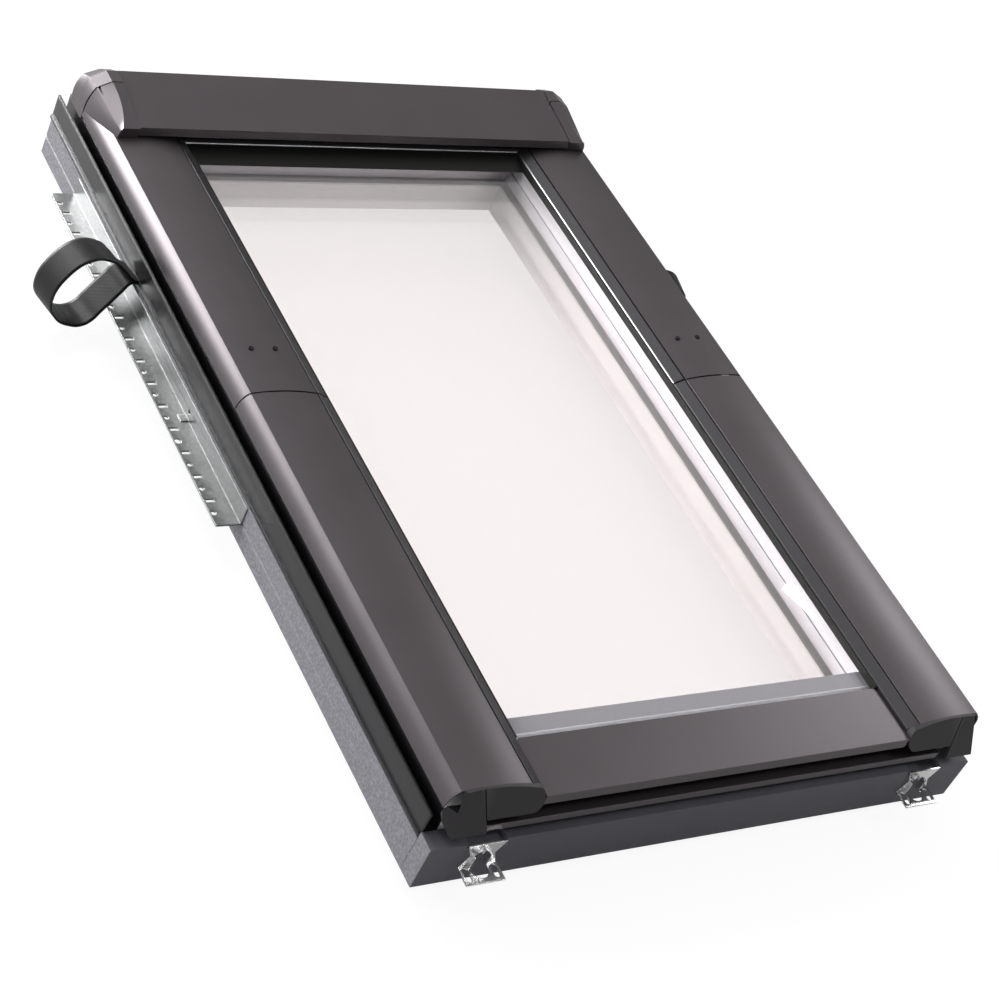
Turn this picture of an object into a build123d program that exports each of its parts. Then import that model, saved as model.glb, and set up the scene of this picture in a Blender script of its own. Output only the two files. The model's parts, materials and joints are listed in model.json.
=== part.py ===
from build123d import *
import os
from math import acos, atan2, cos, hypot, pi, radians, sin

# Centre-pivot roof window with its frame, in millimetres.
# X runs across the window, Y up the roof slope and Z out of the roof. Outlines are written
# from the pivot line, Y = 0, and from the frame's underside, Z = 0; the finished pieces are
# then moved along Y so that the origin is the middle of the sill rail's underside.

# Frame rails
frame_width = 740.0
frame_length = 1180.0
frame_height = 118.0
frame_rail = 34.0

# Sash rails
side_gap = 4.0
lock_gap = 16.0
sash_depth_in_frame = 78.0
sash_upright = 56.0
bottom_upright = 17.0
ledge_width = 26.0
ledge_height = 43.0
upright_proud = 2.0
bevel_depth = 12.0
bevel_height = 24.0

# Insulating glass unit
pane = 4.0
cavity = 18.0
bed = 3.0
glass_gap = 3.0
pane_overhang = 18.0
spacer_inset = 3.0
spacer_width = 8.0
bottom_spacer_width = 23.0

# Outer glazing gasket and glazing strips
gasket_cover = 13.0
gasket_top_cover = 43.5
gasket_foot = 3.6
gasket_side_width = 3.6
gasket_top_width = 33.7
gasket_lip = 2.4
gasket_height = 8.6
strip_sheet = 1.8
strip_rise = 9.6
strip_slope_rise = 7.4
strip_slope_run = 14.6
strip_gap = 0.3

# Side covers
cover_sheet = 2.0
cover_gap = 2.0
cover_inner_rise = 15.0
cover_crown = 21.0
cover_shoulder_rise = 19.0
cover_drop = 6.0
cover_shoulder_out = 1.0
cover_edge_out = 13.5
cover_bulge = 2.6
split_gap = 1.0
cover_lift = 1.5

# Caps on the lower ends of the side covers
cap_reach = 20.0
cap_front_reach = 5.0
cap_front_set_back = 22.0
cap_wall = 3.0
cap_nose_width = 11.0
cap_nose_rise = 10.0
cap_nose_top_width = 6.0
cap_nose_top_drop = 2.0
cap_inner_foot_rise = 4.0
cap_outer_foot_drop = 11.0
cap_toe_thickness = 4.0
cap_corner_width = 9.0
cap_corner_depth = 11.0
cap_corner_inset = 10.0
cap_seam_top_inset = 27.0
cap_seam_foot_inset = 39.0
cap_groove = 1.6

# Hood over the head, with its side caps and rear end caps
hood_sheet = 2.0
hood_side_inset = 30.0
hood_depth = 113.0
hood_front_drop = 11.0
hood_front_set_back = 3.0
hood_front_rise = 14.0
hood_back_rise = 14.0
hood_back_inset = 12.0
hood_skirt_below_frame = 28.0
hood_cap_nose = 3.0
hood_cap_root_rise = 14.0
rear_cap_start_inset = 37.0
rear_cap_bend_inset = 14.0
rear_cap_end_reach = 4.0
rear_cap_foot_rise = 6.0
rear_cap_top_rise = 1.0
rear_cap_back_drop = 11.0
cap_seam = 0.6
cap_slot_width = 2.5
cap_slot_length = 17.0
rear_cap_gap = 1.8

# Bottom cover of the sash and apron ledge of the frame
bottom_cover_sheet = 3.0
bottom_cover_front_inset = 8.5
bottom_cover_lap = 11.0
bottom_cover_drop = 14.5
bottom_cover_gap = 2.0
bottom_cover_corner = 6.0
bottom_seal_height = 2.5
apron_sheet = 2.0
apron_reach = 19.0
apron_face = 10.0
apron_top_drop = 13.0

# Insulation collar
collar = 20.0
collar_front = 25.0
collar_low = 20.0
collar_side_drop = 43.0
collar_front_drop = 34.0
collar_groove = 2.0
collar_groove_drop = 29.0

# Side gutters
gutter_sheet = 1.6
gutter_width = 18.0
gutter_inner_drop = 4.0
gutter_outer_drop = 6.0
gutter_lip = 3.0
gutter_overhang = 4.0
gutter_flange = 2.5
gutter_flange_height = 5.0

# Side fixing angles
angle_sheet = 2.0
angle_leaf = 34.0
angle_upstand = 27.0
angle_drop = 30.0
angle_top_inset = 96.0
angle_length = 601.0
angle_pitch = 40.0
angle_end = 20.5
angle_slot_length = 11.0
angle_slot_width = 4.5
angle_hole_radius = 3.0
angle_hole_from_edge = 5.0
angle_slot_from_edge = 8.0
angle_hole_sides = 8
angle_large_hole_radius = 4.0
angle_large_hole_place = 3
angle_pad_along = 178.0
angle_pad_length = 12.0
angle_pad_reach = 11.0
angle_pad_height = 1.2
angle_pad_hole_radius = 2.5
angle_pad_hole_rise = 10.0

# Bottom fixing brackets
bracket_sheet = 2.0
bracket_width = 50.0
bracket_inset = 53.0
bracket_drop = 39.0
bracket_leaf = 26.0
bracket_waist = 9.0
bracket_window = 20.0
bracket_tongue = 8.0
bracket_rib = 5.0
bracket_slot_width = 7.0
bracket_slot_length = 18.0
bracket_slot_offset = 18.0
bracket_notch = 6.0
bracket_top_drop = 1.0

# Pivot hinges
pivot_above_cover = 1.0
groove_radius = 34.3
groove_width = 8.3
groove_depth = 5.0
rib_clearance = 0.3
rib_half_angle = 65.0
housing_thickness = 8.0
housing_half = 44.0
housing_below = 74.0
housing_above = 6.0
housing_corner = 10.0
arm_thickness = 6.0
arm_half = 38.0
arm_below = 64.0
arm_corner = 8.0

# Brackets and screws that hold the upper covers
holder_start = 56.0
holder_length = 50.0
holder_web = 3.0
holder_foot = 28.0
holder_flange = 3.0
holder_inner_inset = 19.5
holder_far_inset = 170.0
cover_screw_y = 74.0
cover_screw_inner_inset = 27.5
cover_screw_spacing = 33.0
cover_screw_radius = 1.9
cover_screw_head = 3.4
cover_screw_head_height = 1.6
cover_screw_length = 10.0
cover_screw_sink = 0.5
screw_clearance = 0.2

# Seal on top of the frame rails
seal_width = 6.0
seal_height = 4.0
seal_inset = 4.0
seal_pivot_gap = 58.0

# Handle, pinion, lock bar and keepers
rose_length = 72.0
rose_width = 34.0
rose_height = 6.0
neck_radius = 9.0
neck_height = 9.0
grip_length = 112.0
grip_width = 20.0
grip_height = 13.0
pinion_module = 2.0
pinion_teeth = 12
pinion_backlash = 0.8
pinion_rise = 26.0
bar_height = 14.0
bar_thickness = 3.0
bar_half_length = 190.0
bar_clearance = 0.3
pin_radius = 4.0
pin_length = 8.0
pin_x = 150.0
keeper_plate = 2.5
keeper_half_width = 25.0
keeper_lip = 3.5
keeper_reach = 12.0
keeper_pin_gap = 1.0
keeper_lip_offset = 8.5
keeper_above = 10.0
keeper_below = 14.0

# Carrying straps of webbing: the left one stands up, the right one lies on its fixing angle
strap_width = 42.0
strap_thickness = 2.5
strap_turn = 12.0
strap_tail_rise = 4.0
strap_root_rise = 9.0
strap_root_out = 14.0
raised_strap_inset = 290.0
raised_loop_out = 86.0
raised_loop_rise = 3.0
raised_loop_half_width = 47.0
raised_loop_half_height = 56.0
raised_loop_tilt = 12.0
resting_strap_inset = 292.0
resting_loop_out = 60.0
resting_loop_drop = 12.0
resting_loop_half_width = 38.0
resting_loop_half_height = 15.0
resting_loop_tilt = 0.0

overrun = 5.0

# Lines that several pieces share
frame_x = frame_width / 2
frame_y = frame_length / 2
inside_x = frame_x - frame_rail
inside_y = frame_y - frame_rail
sash_x = inside_x - side_gap
sash_top_y = inside_y - side_gap
sash_bottom_y = lock_gap - inside_y
sash_low = frame_height - sash_depth_in_frame
rebate_x = sash_x - sash_upright
rebate_top_y = sash_top_y - sash_upright
rebate_bottom_y = sash_bottom_y + bottom_upright
glass_x = rebate_x - glass_gap
glass_top_y = rebate_top_y - glass_gap
glass_bottom_y = rebate_bottom_y + glass_gap
bed_z = sash_low + ledge_height
inner_pane_z = bed_z + bed
middle_pane_z = inner_pane_z + pane + cavity
outer_pane_z = middle_pane_z + pane + cavity
glass_z = outer_pane_z + pane
sash_high = glass_z + upright_proud
pane_low_y = glass_bottom_y - pane_overhang
gasket_in_x = glass_x - gasket_cover
gasket_in_y = glass_top_y - gasket_top_cover
strip_in_x = gasket_in_x + gasket_side_width + strip_gap
strip_foot_z = glass_z + gasket_foot
strip_top_z = glass_z + strip_rise
strip_out_x = strip_in_x + strip_slope_run
strip_out_z = strip_top_z + strip_slope_rise
strip_in_y = gasket_in_y + gasket_top_width + strip_gap
strip_out_y = strip_in_y + strip_slope_run
cover_in_x = strip_out_x + cover_gap
cover_top_z = sash_high + cover_crown
pivot_z = cover_top_z + pivot_above_cover
cap_inner_foot = frame_height + cap_inner_foot_rise
cap_outer_foot = frame_height - cap_outer_foot_drop
cap_seam_top = frame_x - cap_seam_top_inset
cap_seam_foot = frame_x - cap_seam_foot_inset
hood_half = frame_x - hood_side_inset
hood_front = frame_y - hood_depth
hood_height = cover_top_z + hood_front_rise
hood_back = frame_y - hood_back_inset
hood_back_height = hood_height + hood_back_rise
rear_cap_start = frame_y - rear_cap_start_inset
rear_cap_bend = frame_y - rear_cap_bend_inset
rear_cap_end = frame_y + rear_cap_end_reach
rear_cap_foot = frame_height + rear_cap_foot_rise
rear_cap_top = hood_back_height + rear_cap_top_rise
collar_side_high = frame_height - collar_side_drop
collar_front_high = frame_height - collar_front_drop
angle_low = collar_side_high - angle_drop
angle_start = frame_y - angle_top_inset - angle_length
bracket_low = collar_front_high - bracket_drop
bracket_centre = frame_x - bracket_inset
holder_far_start = frame_y - holder_far_inset
collar_x = frame_x + collar
front_y = -frame_y - collar_front
back_y = frame_y + collar_front
cover_low_y = front_y + cap_reach
cap_front_y = front_y - cap_front_reach
pinion_low = sash_low + pinion_rise
bar_low = pinion_low
bar_middle = bar_low + bar_height / 2
bar_face_y = sash_bottom_y + bar_thickness
pinion_radius = pinion_module * pinion_teeth / 2
pinion_y = bar_face_y + pinion_module + pinion_radius
tooth_top_share = 0.7
tooth_root_share = 0.6
tooth_tip_share = 0.25
rack_height = pinion_module * (1 + tooth_top_share)
rack_half_length = pi * pinion_module * pinion_teeth / 4
bar_travel = pinion_radius * pi / 2
origin_y = frame_rail / 2 - frame_y


def along_y(face, start, end):
    """Extrudes a face drawn in X and Z from one Y to another."""
    plane = Plane(origin=(0, start, 0), x_dir=(1, 0, 0), z_dir=(0, -1, 0))
    return extrude(plane * face, end - start, dir=(0, 1, 0))


def along_x(face, start, end):
    """Extrudes a face drawn in Y and Z from one X to another."""
    plane = Plane(origin=(start, 0, 0), x_dir=(0, 1, 0), z_dir=(1, 0, 0))
    return extrude(plane * face, end - start, dir=(1, 0, 0))


def along_z(face, start, end):
    """Extrudes a face drawn in X and Y from one Z to another."""
    return extrude(Pos(0, 0, start) * face, end - start, dir=(0, 0, 1))


def outline(*points):
    """A closed face with straight edges."""
    return make_face(Polyline(*points, close=True).edges())


def folded(path, thickness, side=Side.RIGHT):
    """The section of a folded sheet whose one face follows the path."""
    return make_face(offset(Wire(path.edges()), thickness, side=side).edges())


def block(x0, x1, y0, y1, z0, z1):
    """A box between two corners."""
    return along_z(outline((x0, y0), (x1, y0), (x1, y1), (x0, y1)), z0, z1)


def left_of(solid):
    """The mirror image on the left side of the window."""
    return mirror(solid, about=Plane.YZ)


def group(solids):
    """Separate solids filed as one piece."""
    return Compound([solid.solid() for solid in solids])


def both(solids):
    """Solids and their mirror images as one group."""
    return group([*solids, *[left_of(solid) for solid in solids]])


def ring(outer, inner, z0, z1):
    """A rectangular ring; each rectangle is half width, low Y and high Y."""
    body = block(-outer[0], outer[0], outer[1], outer[2], z0, z1)
    return body - block(-inner[0], inner[0], inner[1], inner[2], z0 - overrun, z1 + overrun)


pieces = {}


def pair(name, solid):
    """Files a right-hand piece and its mirror image."""
    pieces[name + "_right"] = solid
    pieces[name + "_left"] = left_of(solid)


# Frame: four rails, the sides running the whole length
def frame_side():
    rail = block(inside_x, frame_x, -frame_y, frame_y, 0, frame_height)
    low = pivot_z - housing_below
    pocket = housing_outline(low, frame_height + overrun)
    return rail - along_x(pocket, inside_x - overrun, inside_x + housing_thickness)


def housing_outline(low, high):
    """Outline of the pivot housing, rounded at its lower corners."""
    corner = housing_corner
    half = housing_half
    path = Line((half, low + corner), (half, high))
    path += Line((half, high), (-half, high))
    path += Line((-half, high), (-half, low + corner))
    path += RadiusArc((-half, low + corner), (-half + corner, low), -corner)
    path += Line((-half + corner, low), (half - corner, low))
    path += RadiusArc((half - corner, low), (half, low + corner), -corner)
    return make_face(path.edges())


pair("frame_side", frame_side())
pieces["frame_head"] = block(-inside_x, inside_x, inside_y, frame_y, 0, frame_height)
pieces["frame_sill"] = block(-inside_x, inside_x, -frame_y, -inside_y, 0, frame_height)


# Sash: four rails with a rebate for the glass
def arm_outline(low, high):
    """Outline of the plate of the pivot arm."""
    corner = arm_corner
    half = arm_half
    path = Line((half, low + corner), (half, high))
    path += Line((half, high), (-half, high))
    path += Line((-half, high), (-half, low + corner))
    path += RadiusArc((-half, low + corner), (-half + corner, low), -corner)
    path += Line((-half + corner, low), (half - corner, low))
    path += RadiusArc((half - corner, low), (half, low + corner), -corner)
    return make_face(path.edges())


def sash_side():
    section = outline(
        (rebate_x - ledge_width, sash_low),
        (sash_x, sash_low),
        (sash_x, sash_high),
        (rebate_x, sash_high),
        (rebate_x, bed_z),
        (rebate_x - ledge_width, bed_z),
    )
    rail = along_y(section, rebate_bottom_y, rebate_top_y)
    pocket = arm_outline(pivot_z - arm_below, sash_high + overrun)
    return rail - along_x(pocket, sash_x - arm_thickness, sash_x + overrun)


def sash_head():
    section = outline(
        (rebate_top_y, sash_low),
        (sash_top_y, sash_low),
        (sash_top_y, sash_high),
        (rebate_top_y, sash_high),
    )
    rail = along_x(section, -sash_x, sash_x)
    ledge_x = rebate_x - ledge_width
    return rail + block(
        -ledge_x, ledge_x, rebate_top_y - ledge_width, rebate_top_y, sash_low, bed_z
    )


def sash_bottom():
    section = outline(
        (sash_bottom_y + bevel_depth, sash_low),
        (rebate_bottom_y, sash_low),
        (rebate_bottom_y, outer_pane_z),
        (sash_bottom_y, outer_pane_z),
        (sash_bottom_y, sash_low + bevel_height),
    )
    rail = along_x(section, -sash_x, sash_x)
    ledge_x = rebate_x - ledge_width
    rail += block(
        -ledge_x, ledge_x, rebate_bottom_y, rebate_bottom_y + ledge_width, sash_low, bed_z
    )
    groove_z = bar_low - bar_clearance
    groove_top = bar_low + bar_height + bar_clearance
    rail -= block(
        -bar_half_length - bar_clearance, bar_half_length + bar_travel + bar_clearance,
        sash_bottom_y - overrun, bar_face_y + bar_clearance, groove_z, groove_top,
    )
    rack_room = rack_half_length + bar_travel + overrun
    rail -= block(
        -rack_room, rack_room, sash_bottom_y, bar_face_y + rack_height + bar_clearance,
        groove_z, groove_top,
    )
    well = Cylinder(pinion_radius + 2 * pinion_module, bar_height + 2 * bar_clearance, align=low_end)
    rail -= Pos(0, pinion_y, groove_z) * well
    bore = Cylinder(neck_radius + bar_clearance, pinion_low - sash_low + overrun, align=low_end)
    return rail - Pos(0, pinion_y, sash_low - overrun) * bore


low_end = (Align.CENTER, Align.CENTER, Align.MIN)
pair("sash_side", sash_side())
pieces["sash_head"] = sash_head()
pieces["sash_bottom"] = sash_bottom()


# Insulating glass unit: three panes, two spacer rings and the bed it lies on
unit = (glass_x, glass_bottom_y, glass_top_y)
spacer_out = (glass_x - spacer_inset, glass_bottom_y + spacer_inset, glass_top_y - spacer_inset)
spacer_in = (
    spacer_out[0] - spacer_width,
    spacer_out[1] + bottom_spacer_width,
    spacer_out[2] - spacer_width,
)
ledge_in = (
    rebate_x - ledge_width,
    rebate_bottom_y + ledge_width,
    rebate_top_y - ledge_width,
)
pieces["inner_pane"] = block(-glass_x, glass_x, unit[1], unit[2], inner_pane_z, inner_pane_z + pane)
pieces["middle_pane"] = block(-glass_x, glass_x, unit[1], unit[2], middle_pane_z, middle_pane_z + pane)
pieces["outer_pane"] = block(-glass_x, glass_x, pane_low_y, unit[2], outer_pane_z, glass_z)
pieces["inner_spacer"] = ring(spacer_out, spacer_in, inner_pane_z + pane, middle_pane_z)
pieces["outer_spacer"] = ring(spacer_out, spacer_in, middle_pane_z + pane, outer_pane_z)
pieces["bed_gasket"] = ring(unit, ledge_in, bed_z, inner_pane_z)


# Outer gasket: a foot on the glass with a lip towards the view, lower under the bottom cover
def gasket_section(inner, lip, outer):
    """Section of the gasket from its inner edge to the edge of the glass."""
    foot_z = glass_z + gasket_foot
    lip_z = glass_z + gasket_height
    return outline(
        (inner, glass_z),
        (outer, glass_z),
        (outer, foot_z),
        (lip, foot_z),
        (lip, lip_z),
        (lip - gasket_lip, lip_z),
    )


def outer_gasket():
    lip_x = gasket_in_x + gasket_side_width
    lip_y = gasket_in_y + gasket_top_width
    side = along_y(
        gasket_section(gasket_in_x, lip_x, glass_x), pane_low_y + bottom_cover_lap, lip_y
    )
    top = along_x(gasket_section(gasket_in_y, lip_y, glass_top_y), -lip_x, lip_x)
    corner = block(lip_x, glass_x, lip_y, glass_top_y, glass_z, glass_z + gasket_foot)
    low = block(
        -glass_x, glass_x, pane_low_y, pane_low_y + bottom_cover_lap,
        glass_z, glass_z + bottom_seal_height,
    )
    return side + left_of(side) + top + corner + left_of(corner) + low


pieces["outer_gasket"] = outer_gasket()


# Glazing strips: folded sheet from the gasket up to the side covers, mitred at the top
def strip_path(inner, outer):
    """Fold line of a glazing strip in its section."""
    path = Line((inner, strip_foot_z), (inner, strip_top_z))
    path += Line((inner, strip_top_z), (outer, strip_out_z))
    path += Line((outer, strip_out_z), (outer, sash_high))
    return path


def mitre(toward_top):
    """The region beyond the mitre line of the upper right corner."""
    reach = strip_slope_run + overrun
    start = (strip_in_x - overrun, strip_in_y - overrun)
    end = (strip_in_x + reach, strip_in_y + reach)
    corner = (start[0], end[1]) if toward_top else (end[0], start[1])
    return along_z(outline(start, end, corner), glass_z, cover_top_z)


side_strip = folded(strip_path(strip_in_x, strip_out_x), strip_sheet)
upper_strip = along_y(side_strip, split_gap, strip_out_y) - mitre(True)
pair("upper_strip", upper_strip)
pair("lower_strip", along_y(side_strip, cover_low_y + strip_gap, -split_gap))
top_strip = along_x(
    folded(strip_path(strip_in_y, strip_out_y), strip_sheet), -strip_out_x, strip_out_x
)
pieces["top_strip"] = top_strip - mitre(False) - left_of(mitre(False))


# Side covers: convex folded sheets, the upper pair on the frame and the lower pair on the sash
cover_shoulder = (frame_x + cover_shoulder_out, sash_high + cover_shoulder_rise)
cover_edge = (frame_x + cover_edge_out, sash_high - cover_drop)
cover_start = (cover_in_x, sash_high + cover_inner_rise)
cover_crest = ((cover_start[0] + cover_shoulder[0]) / 2, cover_top_z)
cover_side = (
    (cover_shoulder[0] + cover_edge[0]) / 2 + cover_bulge,
    (cover_shoulder[1] + cover_edge[1]) / 2 + cover_bulge,
)


def cover_path(foot):
    """Outer face of a side cover in its section, from its inner foot to its outer edge."""
    path = Line((cover_in_x, foot), cover_start)
    path += ThreePointArc(cover_start, cover_crest, cover_shoulder)
    path += ThreePointArc(cover_shoulder, cover_side, cover_edge)
    return path


def under_cover():
    """The room below a side cover's sheet, as a face."""
    low = frame_height
    path = cover_path(low)
    path += Line(cover_edge, (cover_edge[0], low))
    path += Line((cover_edge[0], low), (cover_in_x, low))
    return offset(make_face(path.edges()), -cover_sheet, kind=Kind.INTERSECTION)


def cover_screw_axes():
    """Places of the two screws through an upper cover, on its outer face."""
    top = along_y(make_face_under(cover_path(sash_high)), split_gap, frame_y)
    places = []
    first = cover_in_x + cover_screw_inner_inset
    for x in (first, first + cover_screw_spacing):
        column = block(
            x - cover_screw_head, x + cover_screw_head,
            cover_screw_y - cover_screw_head, cover_screw_y + cover_screw_head,
            sash_high, cover_top_z + overrun,
        )
        hit = (top & column).bounding_box()
        places.append((x, cover_screw_y, hit.max.Z - cover_screw_sink))
    return places


def make_face_under(path):
    """A face closed by a straight line between the ends of a path."""
    ends = Wire(path.edges())
    return make_face((path + Line(ends.position_at(1), ends.position_at(0))).edges())


def upper_cover():
    section = folded(cover_path(sash_high + cover_lift), cover_sheet)
    cover = along_y(section, split_gap, rear_cap_start - cap_seam)
    for place in cover_screw_axes():
        bore = Cylinder(cover_screw_radius + screw_clearance, 2 * overrun)
        seat = Cylinder(cover_screw_head + screw_clearance, overrun, align=low_end)
        cover -= Pos(*place) * bore
        cover -= Pos(*place) * seat
    return cover


pair("upper_cover", upper_cover())
lower_section = folded(cover_path(sash_high), cover_sheet)
pair("lower_cover", along_y(lower_section, cover_low_y, -split_gap))


# Caps on the lower ends: a round nose, a leaning front and a deeper outer toe with a cut corner
def cap_outline():
    foot_share = (cap_inner_foot - cap_outer_foot) / (cover_top_z - cap_outer_foot)
    seam_x = cap_seam_foot + (cap_seam_top - cap_seam_foot) * foot_share
    nose_foot = (strip_in_x + cap_nose_width, cap_inner_foot)
    nose_side = (strip_in_x, cap_inner_foot + cap_nose_rise)
    nose_top = (strip_in_x + cap_nose_top_width, cover_start[1] - cap_nose_top_drop)
    path = ThreePointArc(nose_foot, nose_side, nose_top)
    path += Line(nose_top, cover_start)
    path += ThreePointArc(cover_start, cover_crest, cover_shoulder)
    path += ThreePointArc(cover_shoulder, cover_side, cover_edge)
    path += Line(cover_edge, (cover_edge[0], cap_outer_foot))
    path += Line((cover_edge[0], cap_outer_foot), (cap_seam_foot, cap_outer_foot))
    path += Line((cap_seam_foot, cap_outer_foot), (seam_x, cap_inner_foot))
    path += Line((seam_x, cap_inner_foot), nose_foot)
    return make_face(path.edges())


def cap_front(depth):
    """The room in front of a cap's leaning front, pushed into the cap by a depth."""
    near = cap_front_y + depth
    far = near + cap_front_set_back
    return along_x(
        outline(
            (cap_front_y - overrun, cap_outer_foot - overrun),
            (near, cap_outer_foot - overrun),
            (near, cap_outer_foot),
            (far, cover_top_z),
            (far, cover_top_z + overrun),
            (cap_front_y - overrun, cover_top_z + overrun),
        ),
        0, frame_width,
    )


def cap_corner():
    """The outer corner that is cut off along the leaning front, wider towards the top."""
    low = (cover_edge[0] - cap_corner_width, cap_front_y)
    high = (low[0] - cap_corner_inset, cap_front_y + cap_front_set_back)
    sections = []
    for (x, y), z in ((low, cap_outer_foot), (high, cover_top_z)):
        edge = cover_edge[0] + overrun
        depth = y + cap_corner_depth * (edge - x) / cap_corner_width
        sections.append(Pos(0, 0, z) * outline((x, y), (edge, y - overrun), (edge, depth)))
    return loft([section.face() for section in sections], ruled=True)


def lower_cap():
    body = along_y(cap_outline(), cap_front_y, cover_low_y) - cap_front(0)
    room = offset(make_face_under(cover_path(cap_inner_foot)), -cap_wall, kind=Kind.INTERSECTION)
    body -= along_y(room, cap_front_y, cover_low_y + overrun) - cap_front(cap_wall)
    under = outline(
        (cap_front_y + cap_toe_thickness, cap_outer_foot - overrun),
        (cap_front_y + cap_toe_thickness, cap_outer_foot),
        (cover_low_y, cap_inner_foot),
        (cover_low_y + overrun, cap_outer_foot - overrun),
    )
    body -= along_x(under, 0, frame_width)
    body -= cap_corner()
    seam = outline(
        (cap_seam_foot, cap_outer_foot),
        (cap_seam_foot + cap_groove, cap_outer_foot),
        (cap_seam_top + cap_groove, cover_top_z),
        (cap_seam_top, cover_top_z),
    )
    groove = along_y(seam, cap_front_y - overrun, cover_low_y) & cap_front(cap_groove)
    return body - groove


pair("lower_cap", lower_cap())

# Hood: one folded sheet over the head
hood_path = Line(
    (hood_front - hood_front_set_back, hood_height - hood_front_drop), (hood_front, hood_height)
)
hood_path += Line((hood_front, hood_height), (hood_back, hood_back_height))
hood_skirt_y = frame_y + hood_sheet
hood_skirt_top = hood_back_height - (hood_skirt_y - hood_back)
hood_skirt_low = frame_height - hood_skirt_below_frame
hood_path += Line((hood_back, hood_back_height), (hood_skirt_y, hood_skirt_top))
hood_path += Line((hood_skirt_y, hood_skirt_top), (hood_skirt_y, hood_skirt_low))
pieces["hood"] = along_x(folded(hood_path, hood_sheet), -hood_half, hood_half)


# Side caps of the hood: lofted wedges that rise towards the back and wrap round the covers
cap_out_shares = ((0.66, 0.655, 0.62, 0.56), (0.88, 0.85, 0.72, 0.34), (0.99, 0.95, 0.81, 0.36))
cap_up_shares = (0.42, 0.78)
cap_slot_share = 0.70


def hood_cap():
    start = hood_half + cap_seam
    width = cover_edge[0] - start
    back = rear_cap_start - rear_cap_gap
    nose = hood_front - hood_cap_nose
    sections = []
    for place, (foot_out, belly_out, shoulder_out, top_out) in enumerate(cap_out_shares):
        along_share = place / 2
        top = hood_height + (rear_cap_top - hood_height) * along_share
        foot = sash_high + hood_cap_root_rise * (1 - along_share)
        lower = (start + width * foot_out, foot)
        belly = (start + width * belly_out, foot + (top - foot) * cap_up_shares[0])
        shoulder = (start + width * shoulder_out, foot + (top - foot) * cap_up_shares[1])
        upper = (start + width * top_out, top)
        path = Line((start, foot), lower)
        path += ThreePointArc(lower, belly, shoulder)
        path += Line(shoulder, upper)
        path += Line(upper, (start, top))
        path += Line((start, top), (start, foot))
        y = nose + (back - nose) * along_share
        plane = Plane(origin=(0, y, 0), x_dir=(1, 0, 0), z_dir=(0, -1, 0))
        sections.append((plane * make_face(path.edges())).face())
    body = loft(sections)
    room = offset(make_face_under(cover_path(frame_height)), cap_seam, kind=Kind.INTERSECTION)
    body -= along_y(room, 0, frame_y)
    slot_x = start + width * cap_slot_share
    slot_low = sash_high + (rear_cap_top - sash_high) * cap_up_shares[1]
    return body - block(
        slot_x, slot_x + cap_slot_width, back - cap_slot_length, back + overrun,
        slot_low, rear_cap_top,
    )


pair("hood_cap", hood_cap())


# Rear end caps: they close the upper covers and the hood behind
rear_belly_shares = (0.05, 0.42)
rear_shoulder_shares = (0.28, 0.78)


def rear_cap():
    start = hood_half + cap_seam

    def section(top):
        ridge = start + (cover_edge[0] - start) * cap_out_shares[-1][-1]
        belly, shoulder = (
            (
                cover_edge[0] - (cover_edge[0] - ridge) * in_share,
                sash_high + (top - sash_high) * up_share,
            )
            for in_share, up_share in (rear_belly_shares, rear_shoulder_shares)
        )
        path = Line((start, rear_cap_foot), (cover_edge[0], rear_cap_foot))
        path += Line((cover_edge[0], rear_cap_foot), (cover_edge[0], sash_high))
        path += ThreePointArc((cover_edge[0], sash_high), belly, shoulder)
        path += Line(shoulder, (ridge, top))
        path += Line((ridge, top), (start, top))
        path += Line((start, top), (start, rear_cap_foot))
        return make_face(path.edges())

    full = section(rear_cap_top)
    bend = Plane(origin=(0, rear_cap_bend, 0), x_dir=(1, 0, 0), z_dir=(0, -1, 0))
    end = Plane(origin=(0, rear_cap_end, 0), x_dir=(1, 0, 0), z_dir=(0, -1, 0))
    low = section(rear_cap_top - rear_cap_back_drop)
    body = along_y(full, rear_cap_start, rear_cap_bend)
    body += loft([(bend * full).face(), (end * low).face()], ruled=True)
    hollow = offset(full, -cap_wall, kind=Kind.INTERSECTION)
    return body - along_y(hollow, rear_cap_start - overrun, rear_cap_bend)


pair("rear_cap", rear_cap())


# Bottom cover of the sash and apron of the frame
def bottom_cover():
    back = pane_low_y + bottom_cover_lap
    top = glass_z + bottom_seal_height + bottom_cover_sheet
    front = front_y + bottom_cover_front_inset
    path = Line((back, top), (front, top))
    path += Line((front, top), (front, top - bottom_cover_drop))
    half = gasket_in_x + bottom_cover_gap
    cover = along_x(folded(path, bottom_cover_sheet, Side.LEFT), -half, half)
    corners = cover.edges().filter_by(Axis.Z).sort_by(Axis.Y)[-2:]
    return fillet(corners, bottom_cover_corner)


pieces["bottom_cover"] = bottom_cover()
apron_top = frame_height - apron_top_drop
apron_start = -inside_y - seal_inset - seal_width - apron_sheet
apron_path = Line(
    (apron_start, frame_height + apron_sheet), (-frame_y - apron_sheet, frame_height + apron_sheet)
)
apron_path += Line(
    (-frame_y - apron_sheet, frame_height + apron_sheet), (-frame_y - apron_sheet, apron_top)
)
apron_path += Line((-frame_y - apron_sheet, apron_top), (-frame_y - apron_reach, apron_top))
apron_path += Line((-frame_y - apron_reach, apron_top), (-frame_y - apron_reach, apron_top - apron_face))
apron_half = cap_seam_foot - cap_seam
pieces["apron"] = along_x(folded(apron_path, apron_sheet, Side.LEFT), -apron_half, apron_half)


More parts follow.
